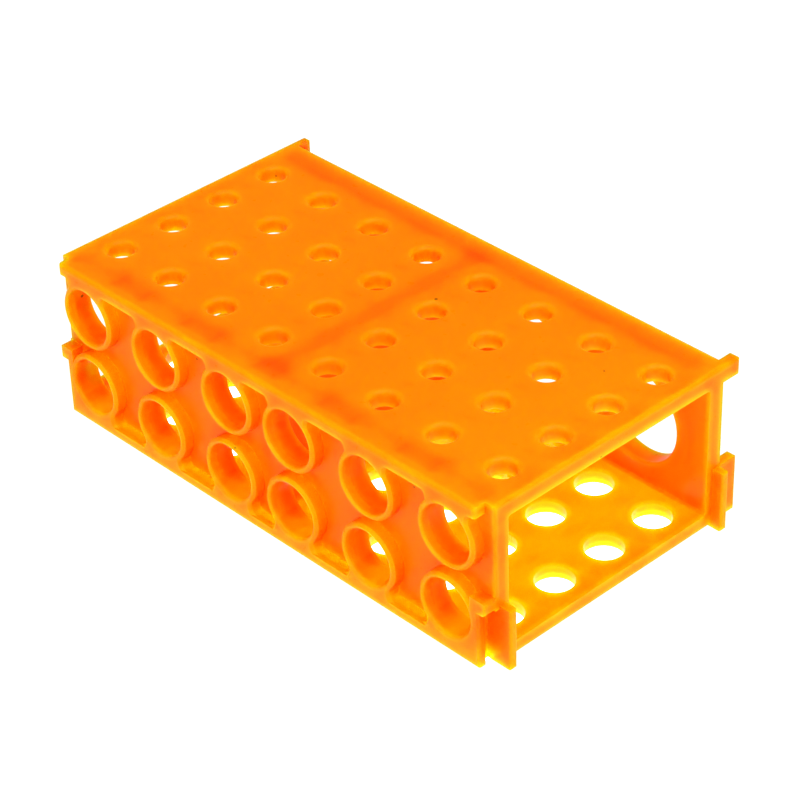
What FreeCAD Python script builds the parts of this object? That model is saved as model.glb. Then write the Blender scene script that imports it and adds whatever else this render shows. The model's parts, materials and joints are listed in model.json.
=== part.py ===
import FreeCAD
import Part
import math
import os

V = FreeCAD.Vector

# Four-sided tube rack, one moulding in translucent polypropylene.
# It is a flat sleeve, open at both short ends, with a partition across the middle. Each long face is
# bored for one tube size, and the sleeve is turned over to bring the wanted face up.
# Origin: middle of the underside. +X runs along the sleeve, +Y to the back, +Z up. Millimetres.

# Sleeve
length = 175.0          # over the open ends
width = 94.0            # front lips to back lips
height = 52.0           # underside to top face
top_plate = 5.2
base_plate = 4.8
front_wall = 4.9
back_wall = 5.3
partition = 3.0         # across the middle of the sleeve
lip_height = 3.5        # edge of each plate standing past the side walls
front_recess = 4.0      # front wall set back from the lips
back_recess = 2.3       # back wall set back from the lips
edge_round = 1.3        # outer edges of the two plates
bay_round = 1.0         # inner corners of the sleeve

# Small tubes, top face
small_r = 4.0
small_rim = 1.0         # width of the lead-in round the mouth
small_lead = 0.5        # its depth
# Medium tubes, underside, on the same axes
medium_r = 5.7
columns = 8
rows = 4
column_margin = 10.5    # sleeve end to the first column
row_margin = 17.6       # lip edge to the first row

# Long tubes, front face: two rows of three on each side of the partition
long_r = 8.7
long_rim = 0.8          # lead-in, as wide as deep
boss_wall = 1.8         # wall of the round boss round each bore
boss_edge = 0.8
boss_blend = 2.5        # radius where a boss runs out onto the lip it touches
long_margin = 14.3      # sleeve end to the outer bore
long_inner = 12.8       # middle of the sleeve to the inner bore

# Large tubes, back face
large_r = 14.8
collar_wall = 2.4
collar_drop = 0.5       # collars stay inside the lip edge by this
large_margin = 26.45
large_count = 4

# Corner notches, ledges, and the ears, key and tongues that link one rack to the next
notch = 3.4             # length taken off each front corner, above the ledge
low_notch = 2.7         # the same, below the ledge
ledge_top = 22.8
ledge_height = 4.2
link_gap = 0.2          # clearance of an ear or key along the sleeve
ear_reach = 4.4         # ears behind the back edge
key_thick = 3.0         # upright key at the right back corner
key_reach = 4.2
key_foot = 1.8
key_top = 19.7
tongue_thick = 2.5      # upright tongues on the right end, from the underside
tongue_reach = 4.0
tongue_top = 19.5
front_tongue = 1.5      # wall face to tongue
back_tongue = 0.7
slot_gap = 0.4          # clearance round a tongue in the left end
groove_depth = 4.5      # behind the right front lip, along X
groove_lip = 2.8        # lip left in front of that groove
tip_round = 0.9         # upright corners of the sleeve
link_round = 0.8        # edges round the free ends of ears, key and tongues

# Derived planes
end_x = length / 2
front_y = -width / 2
back_y = width / 2
front_face = front_y + front_recess
back_face = back_y - back_recess
front_in = front_face + front_wall
back_in = back_face - back_wall
bay_top = height - top_plate
boss_r = long_r + boss_wall
boss_low = lip_height + boss_r
boss_high = height - boss_low
ledge_low = ledge_top - ledge_height
over = 2.0              # how far a cutter runs past what it cuts
sink = 1.0              # how far an added form starts inside its neighbour


def outline(corners, place):
    """Closed face through corners (u, v, radius), each corner rounded by its own radius."""
    edges = []
    ends = []
    count = len(corners)
    for k in range(count):
        u, v, r = corners[k]
        p = V(u, v, 0)
        a = V(*corners[k - 1][:2], 0) - p
        b = V(*corners[(k + 1) % count][:2], 0) - p
        if r == 0:
            ends.append((p, None, p))
            continue
        a.normalize()
        b.normalize()
        half = a.getAngle(b) / 2
        mid = a + b
        mid.normalize()
        centre = p + mid * (r / math.sin(half))
        ends.append((p + a * (r / math.tan(half)), centre - mid * r, p + b * (r / math.tan(half))))
    for k in range(count):
        start, through, stop = ends[k]
        if through is not None:
            edges.append(Part.Arc(place(start), place(through), place(stop)).toShape())
        edges.append(Part.LineSegment(place(stop), place(ends[(k + 1) % count][0])).toShape())
    return Part.Face(Part.Wire(edges))


def on_yz(x):
    return lambda p: V(x, p.x, p.y)


def on_xz(y):
    return lambda p: V(p.x, y, p.y)


def on_xy(z):
    return lambda p: V(p.x, p.y, z)


def block(x0, x1, y0, y1, z0, z1):
    return Part.makeBox(x1 - x0, y1 - y0, z1 - z0, V(x0, y0, z0))


def bore_cutter(r, wide, lead, deep):
    """Cutter along +Z: mouth at z 0, eased by a cone so wide and so deep, bore down to -deep."""
    mouth = [V(r + wide, 0, over), V(r + wide, 0, 0), V(r, 0, -lead)] if wide else [V(r, 0, over)]
    points = [V(0, 0, over)] + mouth + [V(r, 0, -deep), V(0, 0, -deep)]
    return Part.Face(Part.makePolygon(points + points[:1])).revolve(V(0, 0, 0), V(0, 0, 1), 360)


def placed(shape, base, axis):
    copy = shape.copy()
    copy.Placement = FreeCAD.Placement(base, FreeCAD.Rotation(V(0, 0, 1), axis))
    return copy


def free_end_rounded(body, at_end):
    """Body with the edges round its free end rounded; at_end tells if a point lies on that end."""
    edges = [e for e in body.Edges if all(at_end(v.Point) for v in e.Vertexes)]
    return body.makeFillet(link_round, edges)


def spread(first, last, count):
    return [first + (last - first) * k / (count - 1) for k in range(count)]


# Sleeve: one section drawn across the rack and run along it
section = outline([
    (front_y, 0, edge_round),
    (front_y, lip_height, 0),
    (front_face, lip_height, 0),
    (front_face, height - lip_height, 0),
    (front_y, height - lip_height, 0),
    (front_y, height, edge_round),
    (back_y, height, edge_round),
    (back_y, height - lip_height, 0),
    (back_face, height - lip_height, 0),
    (back_face, lip_height, 0),
    (back_y, lip_height, 0),
    (back_y, 0, edge_round),
], on_yz(-end_x))
rack = section.extrude(V(length, 0, 0))

# Two bays, one each side of the partition
for side in (-1, 1):
    x = side * partition / 2
    bay = outline([
        (front_in, base_plate, bay_round),
        (back_in, base_plate, bay_round),
        (back_in, bay_top, bay_round),
        (front_in, bay_top, bay_round),
    ], on_yz(x))
    rack = rack.cut(bay.extrude(V(side * (end_x + over), 0, 0)))

# Bosses: round, touching the lip above or below and blended onto it
long_x = spread(long_inner, end_x - long_margin, 3)
long_x = [-x for x in reversed(long_x)] + long_x


def boss(x, z, side):
    lip = z + side * boss_r
    foot = z + side * (boss_r + lip_height / 2)
    blend = 2 * math.sqrt(boss_r * boss_blend)
    turn = math.atan2(blend, boss_r - boss_blend)
    points = {}
    for end in (-1, 1):
        centre = V(x + end * blend, front_y, lip - side * boss_blend)
        points[end] = [
            V(x + end * boss_r * math.sin(turn), front_y, z + side * boss_r * math.cos(turn)),
            centre + V(-end * math.sin(turn / 2), 0, side * math.cos(turn / 2)) * boss_blend,
            V(centre.x, front_y, lip),
            V(centre.x, front_y, foot),
        ]
    edges = [Part.Arc(points[-1][0], V(x, front_y, z - side * boss_r), points[1][0]).toShape()]
    for end in (1, -1):
        edges.append(Part.Arc(*points[end][:3]).toShape())
        edges.append(Part.makeLine(points[end][2], points[end][3]))
    edges.append(Part.makeLine(points[1][3], points[-1][3]))
    body = Part.Face(Part.Wire(Part.__sortEdges__(edges))).extrude(V(0, front_recess + sink, 0))
    rim = [e for e in body.Edges
           if all(abs(v.Y - front_y) < 1e-6 for v in e.Vertexes)
           and not all(abs(v.Z - foot) < 1e-6 for v in e.Vertexes)]
    return body.makeChamfer(boss_edge, rim)


added = []
for x in long_x:
    added.append(boss(x, boss_low, -1))
    added.append(boss(x, boss_high, 1))

# Front corners: ledge at mid height, and below it a filled strip from the outer boss to the notch
for side in (-1, 1):
    strip = outline([
        (side * (end_x - long_margin), lip_height / 2, 0),
        (side * (end_x - low_notch), lip_height / 2, 0),
        (side * (end_x - low_notch), ledge_low, 0),
        (side * end_x, ledge_low, edge_round),
        (side * end_x, ledge_top, edge_round),
        (side * (end_x - long_margin + long_r), ledge_top, 0),
        (side * (end_x - long_margin + long_r), boss_low, 0),
        (side * (end_x - long_margin), boss_low, 0),
    ], on_xz(front_y))
    added.append(strip.extrude(V(0, front_recess + sink, 0)))

# Collars on the back face
for x in spread(large_margin - end_x, end_x - large_margin, large_count):
    collar = Part.makeCylinder(large_r + collar_wall, back_recess - collar_drop + sink,
                               V(x, back_face - sink, height / 2), V(0, 1, 0))
    added.append(collar)

rack = rack.fuse(added).removeSplitter()


def plan(front_notch, low, high):
    """Prism over one band of height: the rack's outline seen from above, with its corner notches."""
    inner = end_x - front_notch
    face = [(-end_x, front_face, tip_round), (-inner, front_face, 0), (-inner, front_y, tip_round),
            (inner, front_y, tip_round), (inner, front_face, 0), (end_x, front_face, tip_round)]
    if front_notch == 0:
        face = [(-end_x, front_y, tip_round), (end_x, front_y, tip_round)]
    back = [(end_x, back_y, tip_round), (-end_x, back_y, tip_round)]
    return outline(face + back, on_xy(low)).extrude(V(0, 0, high - low))


# Corner notches above and below the mid-height ledge, and rounded upright corners
bands = plan(notch, ledge_top, height).fuse([plan(0, ledge_low, ledge_top), plan(low_notch, 0, ledge_low)])
rack = rack.common(bands)

# Ears: both back corners of the top plate, narrower than the front notches by the link gap
ear_x = end_x - notch + link_gap
ear_tip = back_y + ear_reach
ears = []
for side in (-1, 1):
    ear = block(min(side * ear_x, side * end_x), max(side * ear_x, side * end_x),
                back_y - sink - edge_round, ear_tip, bay_top, height)
    ears.append(free_end_rounded(ear, lambda p: abs(p.y - ear_tip) < 1e-6))
rack = rack.fuse(ears).removeSplitter()

# Rounded edges at the open ends of the two plates, carried on along the ears
front_view = outline([
    (-end_x, 0, edge_round),
    (end_x, 0, edge_round),
    (end_x, height, edge_round),
    (-end_x, height, edge_round),
], on_xz(front_y - over))
rack = rack.common(front_view.extrude(V(0, over + width + ear_reach + over, 0)))

# Key: upright at the right back corner, its inner side in line with the low notch
key_x = end_x - low_notch + link_gap
key_tip = back_y + key_reach
key = block(key_x, key_x + key_thick, back_face - sink, key_tip, key_foot, key_top)
links = [free_end_rounded(key, lambda p: abs(p.y - key_tip) < 1e-6)]

# Tongues: upright on the right end, one on each side wall
tongue_y = (front_face + front_tongue, back_face - back_tongue - tongue_thick)
tongue_tip = end_x + tongue_reach
for y in tongue_y:
    tongue = block(end_x - edge_round - sink, tongue_tip, y, y + tongue_thick, 0, tongue_top)
    links.append(free_end_rounded(tongue, lambda p: abs(p.x - tongue_tip) < 1e-6))
rack = rack.fuse(links).removeSplitter()

# Groove behind the right front lip, open at the end and at the underside
groove = block(end_x - groove_depth, end_x + over, front_y + groove_lip, tongue_y[0], -over, ledge_low)
rack = rack.cut(groove)

# Slots in the left end that take a neighbour's tongues, open at the underside
slot_top = tongue_top + slot_gap
slot_x = -end_x + tongue_reach + slot_gap
rack = rack.cut(block(-end_x - over, slot_x, tongue_y[0] - slot_gap, front_in, -over, slot_top))
rack = rack.cut(block(-end_x - over, slot_x, tongue_y[1] - slot_gap, back_face, -over, slot_top))

# Tube bores, as rows of cutters
column_x = spread(column_margin - end_x, end_x - column_margin, columns)
row_y = spread(front_y + row_margin, back_y - row_margin, rows)
cutters = []
small = bore_cutter(small_r, small_rim, small_lead, top_plate + over)
medium = bore_cutter(medium_r, 0, 0, base_plate + over)
for x in column_x:
    for y in row_y:
        cutters.append(placed(small, V(x, y, height), V(0, 0, 1)))
        cutters.append(placed(medium, V(x, y, 0), V(0, 0, -1)))
long = bore_cutter(long_r, long_rim, long_rim, front_recess + front_wall + over)
for x in long_x:
    for z in (boss_low, boss_high):
        cutters.append(placed(long, V(x, front_y, z), V(0, -1, 0)))
large = bore_cutter(large_r, 0, 0, back_wall + back_recess + over)
for x in spread(large_margin - end_x, end_x - large_margin, large_count):
    cutters.append(placed(large, V(x, back_y - collar_drop, height / 2), V(0, 1, 0)))
rack = rack.cut(cutters)

os.makedirs("parts", exist_ok=True)
rack.exportStep("parts/tube_rack.step")
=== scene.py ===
import json
import math

import bmesh
import bpy
from mathutils import Matrix, Vector, kdtree


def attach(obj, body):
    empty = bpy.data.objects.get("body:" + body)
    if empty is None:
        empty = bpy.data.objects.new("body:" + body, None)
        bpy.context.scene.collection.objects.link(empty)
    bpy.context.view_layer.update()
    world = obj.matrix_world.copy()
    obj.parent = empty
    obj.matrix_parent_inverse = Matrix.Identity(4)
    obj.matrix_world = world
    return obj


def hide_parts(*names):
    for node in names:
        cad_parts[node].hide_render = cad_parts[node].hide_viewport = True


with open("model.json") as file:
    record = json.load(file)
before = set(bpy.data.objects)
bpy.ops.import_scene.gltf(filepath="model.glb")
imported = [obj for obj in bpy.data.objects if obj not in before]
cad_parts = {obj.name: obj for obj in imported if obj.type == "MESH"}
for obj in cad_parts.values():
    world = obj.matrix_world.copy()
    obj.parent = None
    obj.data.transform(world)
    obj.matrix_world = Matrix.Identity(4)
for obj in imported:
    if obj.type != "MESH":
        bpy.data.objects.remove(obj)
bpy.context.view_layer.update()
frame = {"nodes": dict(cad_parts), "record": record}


# The rack: one injection moulding in translucent orange polypropylene, with nothing fixed to it. It is
# a sleeve, open at its short ends. Each of its four walls is bored for tubes of one size, and every
# bore has a rounded lip at both its ends.
rack_node = "tube_rack"
MM = 0.001
join_distance = 0.001 * MM
flat_angle = math.radians(0.5)
crease = math.radians(32)
touch = 0.02 * MM           # points nearer than this to a level lie on it
same_way = 0.999            # cosine: the two directions are taken as one
end_on = 0.95               # cosine: a face that looks this much along a bore is no wall of it
wall_reach = 1.05 * MM      # no wall of a bore or its cone stands further off than this
lip_steps = 4
# The solid has cones or sharp rims for lips. A copy of its mesh is cut into rings along each bore, and
# the rings are opened out into quarter rounds. Kind of bore: how deep the solid's cone is, rounding of
# the mouth, rounding of the inner end.
lips = {
    "small": (0.5 * MM, 1.3 * MM, 0.5 * MM),
    "medium": (0.0, 1.2 * MM, 0.5 * MM),
    "long": (0.8 * MM, 0.8 * MM, 0.6 * MM),
    "large": (0.0, 0.9 * MM, 0.7 * MM),
}
# The long bores' mouths are rounded as wide as their cones, so the face round them stays as it is.
faces_kept = ("long",)
bores = {kind: [m for m in frame["record"]["mounts"] if m["name"].startswith(kind)] for kind in lips}


def ends(kind):
    """The way out of one kind of bore, and the levels of its mouth and its inner end along that way."""
    bore = bores[kind][0]
    middle = sum(place * axis for place, axis in zip(bore["pos_m"], bore["axis"]))
    half = bore["dims"]["length_mm"] * MM / 2
    cone = lips[kind][0]
    return Vector(bore["axis"]), middle + half + cone, middle - half


def flare(depth, lip):
    """How far a quarter-round lip stands off the bore's wall at a depth from its face."""
    return lip - math.sqrt(lip ** 2 - (lip - max(depth, 0)) ** 2) if depth < lip else 0


def round_lips(bm, kind):
    """Both ends of every bore of one kind opened out into quarter rounds."""
    out, mouth, inner = ends(kind)
    _, lip, inner_lip = lips[kind]
    r = bores[kind][0]["dims"]["r_mm"] * MM
    centres = kdtree.KDTree(len(bores[kind]))
    for k, bore in enumerate(bores[kind]):
        place = Vector(bore["pos_m"])
        centres.insert(place - out * place.dot(out), k)
    centres.balance()

    def spoke(vert):
        flat = vert.co - out * vert.co.dot(out)
        centre, _, distance = centres.find(flat)
        return centre, flat - centre, distance

    def in_bore(face):
        return abs(face.normal.dot(out)) < end_on and all(
            spoke(v)[2] < r + wall_reach and inner - touch < v.co.dot(out) < mouth + touch
            for v in face.verts)

    walls = [face for face in bm.faces if in_bore(face)]
    for vert in {v for face in walls for v in face.verts}:
        depth = mouth - vert.co.dot(out)
        if touch < depth < lip:
            vert.co -= out * (lip - depth)
    steps = [1 - math.cos(math.radians(90) * k / lip_steps) for k in range(1, lip_steps + 1)]
    levels = [mouth - lip * s for s in steps] + [inner + inner_lip * s for s in steps]
    geom = list({v for f in walls for v in f.verts}) + list({e for f in walls for e in f.edges}) + walls
    for level in levels:
        geom = bmesh.ops.bisect_plane(bm, geom=geom, dist=touch, plane_co=out * level, plane_no=out)["geom"]
    for vert in [g for g in geom if isinstance(g, bmesh.types.BMVert)]:
        centre, off, _ = spoke(vert)
        level = vert.co.dot(out)
        wide = r + flare(mouth - level, lip) + flare(level - inner, inner_lip)
        vert.co = centre + off.normalized() * wide + out * level


def refill(bm, normal, level):
    """The flat faces at one level, filled again round their moved rims."""
    flat = [f for f in bm.faces if f.normal.dot(normal) > same_way
            and all(abs(v.co.dot(normal) - level) < touch for v in f.verts)]
    left = set(flat)
    while left:
        group = [left.pop()]
        for face in group:
            for near in {g for e in face.edges for g in e.link_faces} & left:
                left.remove(near)
                group.append(near)
        inside = set(group)
        rim = [e for f in group for e in f.edges if sum(g in inside for g in e.link_faces) == 1]
        bmesh.ops.delete(bm, geom=group, context="FACES_KEEP_BOUNDARY")
        bmesh.ops.triangle_fill(bm, edges=rim, use_beauty=True, normal=normal)


def moulding(source):
    mesh = bpy.data.meshes.new("rack_moulding")
    bm = bmesh.new()
    bm.from_mesh(source.data)
    bmesh.ops.remove_doubles(bm, verts=bm.verts, dist=join_distance)
    bmesh.ops.dissolve_limit(bm, angle_limit=flat_angle, verts=bm.verts, edges=bm.edges)
    for kind in lips:
        round_lips(bm, kind)
    bm.normal_update()
    for kind in lips:
        out, mouth, inner = ends(kind)
        if kind not in faces_kept:
            refill(bm, out, mouth)
        refill(bm, -out, -inner)
    bmesh.ops.triangulate(bm, faces=[f for f in bm.faces if len(f.verts) > 4])
    bm.normal_update()
    for edge in bm.edges:
        edge.smooth = edge.calc_face_angle(0) < crease
    for face in bm.faces:
        face.smooth = True
    bm.to_mesh(mesh)
    bm.free()
    return bpy.data.objects.new("rack_moulding", mesh)


rack = moulding(frame["nodes"][rack_node])
bpy.context.scene.collection.objects.link(rack)
even = rack.modifiers.new("even_normals", "WEIGHTED_NORMAL")
even.mode = "FACE_AREA"
even.keep_sharp = True
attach(rack, "root")
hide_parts(rack_node)

# The plastic: tinted orange, with light carrying centimetres through it. Light and shade are also painted
# into its green by how far
# the plastic runs on under the skin: a painted glow at the edges, painted shade in thin walls and painted
# shade where walls join.
plain_green = 0.177         # green in the skin's colour, where red is 1 and blue is 0
painted_edge_glow_green = 0.12           # painted glow added at the edges
painted_joint_shade_green = 0.165         # painted shade taken off where walls join
painted_thin_shade_share = 0.15           # share of the green that the thinnest walls keep under their painted shade
edge_depth = 1.8 * MM       # how deep the plastic is felt for edges
wall_depth = 8.0 * MM       # and for walls and their joints
painted_glow_edge_open = (0.6, 1.0)      # openness from which to which the painted edge glow,
painted_shade_joint_open = (0.5, 0.85)    # the painted shade at a joint
painted_shade_thin_open = (0.03, 0.2)     # and the painted shade of a thin wall fade off
noise_span = (0.3, 0.7)     # where nearly all of a noise lies
cloud = (28.0, 3.0)         # scale and detail of the clouds in the green,
smears = (420.0, 4.0)       # of the smears in the gloss,
grain = (1500.0, 2.0)       # of the skin's fine grain
waves = (45.0, 1.0)         # and of the slow waves of a cooled wall
cloud_green = (0.95, 1.05)  # shares of the green
smear_roughness = (0.27, 0.37)
grain_bump = (0.25, 0.04 * MM)      # strength and height
wave_bump = (0.5, 0.25 * MM)
soft_edge = 0.35 * MM
light_carry = 25.0 * MM
carry_shares = (0.48, 1.0, 0.04)    # of red, green and blue
# Specks of dirt moulded into the skin: centre of each in mm, and its radius.
specks = (
    (65.8, 20.9, 52.0, 0.3), (7.8, 14.7, 52.0, 0.5),            # top face
    (-79.4, 32.6, 49.1, 0.3),                                   # wall of a small bore
    (87.5, -3.7, 47.3, 0.35),                                   # right end of the top plate
    (-28.3, -43.0, 43.0, 0.25), (58.2, -43.0, 43.4, 0.2),       # front wall, between the bosses
    (-9.9, -46.6, 23.7, 0.3), (-81.8, -41.4, 39.3, 0.45),       # rim of a boss, wall of a long bore
)
speck_blur = 0.1 * MM
speck_share = 0.2           # share of the skin's colour left in a speck
far_off = 1.0               # further than any speck

plastic = bpy.data.materials.new("orange_polypropylene")
plastic.use_nodes = True
tree = plastic.node_tree
skin = tree.nodes["Principled BSDF"]
place = tree.nodes.new("ShaderNodeTexCoord")


def noise(scale, detail):
    node = tree.nodes.new("ShaderNodeTexNoise")
    node.inputs["Scale"].default_value = scale
    node.inputs["Detail"].default_value = detail
    tree.links.new(place.outputs["Object"], node.inputs["Vector"])
    return node.outputs["Fac"]


def ranged(source, source_low, source_high, low, high):
    node = tree.nodes.new("ShaderNodeMapRange")
    node.inputs["From Min"].default_value = source_low
    node.inputs["From Max"].default_value = source_high
    node.inputs["To Min"].default_value = low
    node.inputs["To Max"].default_value = high
    tree.links.new(source, node.inputs["Value"])
    return node.outputs["Result"]


def bump(height, strength, depth, normal):
    node = tree.nodes.new("ShaderNodeBump")
    node.inputs["Strength"].default_value = strength
    node.inputs["Distance"].default_value = depth
    tree.links.new(height, node.inputs["Height"])
    tree.links.new(normal, node.inputs["Normal"])
    return node.outputs["Normal"]


def openness(reach, rays):
    """How far the plastic runs on under a point: 1 for past the reach all round, 0 for a mere edge."""
    node = tree.nodes.new("ShaderNodeAmbientOcclusion")
    node.samples = rays
    node.inside = True
    node.only_local = True
    node.inputs["Distance"].default_value = reach
    return node.outputs["AO"]


def combined(operation, first, second):
    node = tree.nodes.new("ShaderNodeMath")
    node.operation = operation
    for socket, value in ((node.inputs[0], first), (node.inputs[1], second)):
        if isinstance(value, float):
            socket.default_value = value
        else:
            tree.links.new(value, socket)
    return node.outputs["Value"]


# Painted light and shade in the green: a painted glow at the edges, painted shade where walls join and in
# the thinnest walls.
thickness = openness(wall_depth, rays=8)
edge = ranged(openness(edge_depth, rays=4), *painted_glow_edge_open, painted_edge_glow_green, 0.0)
painted_joint_shade = ranged(thickness, *painted_shade_joint_open, 0.0, painted_joint_shade_green)
painted_thin_shade = ranged(thickness, *painted_shade_thin_open, painted_thin_shade_share, 1.0)
green_with_painted_light = combined("MULTIPLY", combined("SUBTRACT", combined("ADD", edge, plain_green), painted_joint_shade), painted_thin_shade)
green_with_painted_light = combined("MULTIPLY", green_with_painted_light, ranged(noise(*cloud), *noise_span, *cloud_green))

nearest = far_off
for x, y, z, r in specks:
    away = tree.nodes.new("ShaderNodeVectorMath")
    away.operation = "DISTANCE"
    tree.links.new(place.outputs["Object"], away.inputs[0])
    away.inputs[1].default_value = (x * MM, y * MM, z * MM)
    nearest = combined("MINIMUM", combined("SUBTRACT", away.outputs["Value"], r * MM), nearest)
clean = ranged(nearest, -speck_blur, speck_blur, speck_share, 1.0)

# The skin's colour: the painted glow and shade in the green, its clouds, and the specks of dirt.
orange = tree.nodes.new("ShaderNodeCombineColor")
tree.links.new(clean, orange.inputs["Red"])
tree.links.new(combined("MULTIPLY", green_with_painted_light, clean), orange.inputs["Green"])
orange.inputs["Blue"].default_value = 0.0
tree.links.new(orange.outputs["Color"], skin.inputs["Base Color"])
tree.links.new(ranged(noise(*smears), *noise_span, *smear_roughness), skin.inputs["Roughness"])
skin.inputs["IOR"].default_value = 1.49
skin.inputs["Specular IOR Level"].default_value = 0.05
skin.inputs["Subsurface Weight"].default_value = 1.0
skin.inputs["Subsurface Radius"].default_value = carry_shares
skin.inputs["Subsurface Scale"].default_value = light_carry
edges = tree.nodes.new("ShaderNodeBevel")
edges.samples = 4
edges.inputs["Radius"].default_value = soft_edge
grained = bump(noise(*grain), *grain_bump, edges.outputs["Normal"])
waved = bump(noise(*waves), *wave_bump, grained)
tree.links.new(waved, skin.inputs["Normal"])
rack.data.materials.append(plastic)
bpy.context.scene.cycles.max_bounces = 24
bpy.context.scene.cycles.diffuse_bounces = 12


# Table: a white sheet lit from below, with a brighter window under the rack, so that it throws no
# shadow and the bottom plate glows. Both sheets lie just under the rack.
table_side = 6.0
table_drop = 0.08 * MM
table_glow = 1.05
window_length = 168.0 * MM
window_width = 86.0 * MM
window_drop = 0.04 * MM
window_glow = 3.4


def lit_sheet(name, x, y, z, glow):
    mesh = bpy.data.meshes.new(name)
    bm = bmesh.new()
    bmesh.ops.create_grid(bm, x_segments=1, y_segments=1, size=0.5)
    bmesh.ops.scale(bm, vec=(x, y, 1), verts=bm.verts)
    bmesh.ops.translate(bm, vec=(0, 0, z), verts=bm.verts)
    bm.to_mesh(mesh)
    bm.free()
    sheet = bpy.data.objects.new(name, mesh)
    bpy.context.scene.collection.objects.link(sheet)
    white = bpy.data.materials.new(name)
    white.use_nodes = True
    paint = white.node_tree.nodes["Principled BSDF"]
    paint.inputs["Base Color"].default_value = (0.1, 0.1, 0.1, 1.0)
    paint.inputs["Roughness"].default_value = 0.8
    paint.inputs["Specular IOR Level"].default_value = 0.0
    paint.inputs["Emission Color"].default_value = (1.0, 1.0, 1.0, 1.0)
    paint.inputs["Emission Strength"].default_value = glow
    sheet.data.materials.append(white)


lit_sheet("white_table", table_side, table_side, -table_drop, table_glow)
lit_sheet("light_window", window_length, window_width, -window_drop, window_glow)


# Studio light: a large soft overhead panel, weaker panels at the right and in front, and a grey room.
# Every panel faces the middle of the rack.
rack_middle = Vector((0.0, 0.0, 0.03))
room_glow = 0.2


def panel(name, where, size, watts):
    light = bpy.data.lights.new(name, "AREA")
    light.shape = "SQUARE"
    light.size = size
    light.energy = watts
    lamp = bpy.data.objects.new(name, light)
    lamp.location = where
    lamp.rotation_euler = (rack_middle - Vector(where)).to_track_quat("-Z", "Y").to_euler()
    bpy.context.scene.collection.objects.link(lamp)


panel("overhead_panel", where=(0.1, -0.2, 1.3), size=1.2, watts=12.5)
panel("right_panel", where=(0.6, -0.1, 0.5), size=0.4, watts=4.6)
panel("front_panel", where=(-0.1, -1.2, 0.4), size=0.8, watts=4.0)
room = bpy.data.worlds.new("grey_room")
room.use_nodes = True
room.node_tree.nodes["Background"].inputs["Color"].default_value = (1.0, 1.0, 1.0, 1.0)
room.node_tree.nodes["Background"].inputs["Strength"].default_value = room_glow
bpy.context.scene.world = room
bpy.context.scene.view_settings.view_transform = "Standard"


# Camera: a long lens, above the right front corner and turned slightly about its own axis.
lens_mm = 127.1
sensor_mm = 36.0
azimuth = math.radians(47.16)
elevation = math.radians(34.73)
roll = math.radians(-1.852)
distance = 0.8
aim = Vector((0.00496, 0.00238, 0.0225))
nearest_seen = 0.05
furthest_seen = 20.0
lens = bpy.data.cameras.new("camera")
lens.lens = lens_mm
lens.sensor_width = sensor_mm
lens.clip_start = nearest_seen
lens.clip_end = furthest_seen
camera = bpy.data.objects.new("camera", lens)
back = Vector((math.sin(azimuth) * math.cos(elevation), -math.cos(azimuth) * math.cos(elevation),
               math.sin(elevation)))
camera.location = aim + back * distance
turn = back.to_track_quat("Z", "Y").to_matrix() @ Matrix.Rotation(roll, 3, "Z")
camera.rotation_euler = turn.to_euler()
bpy.context.scene.collection.objects.link(camera)
bpy.context.scene.camera = camera
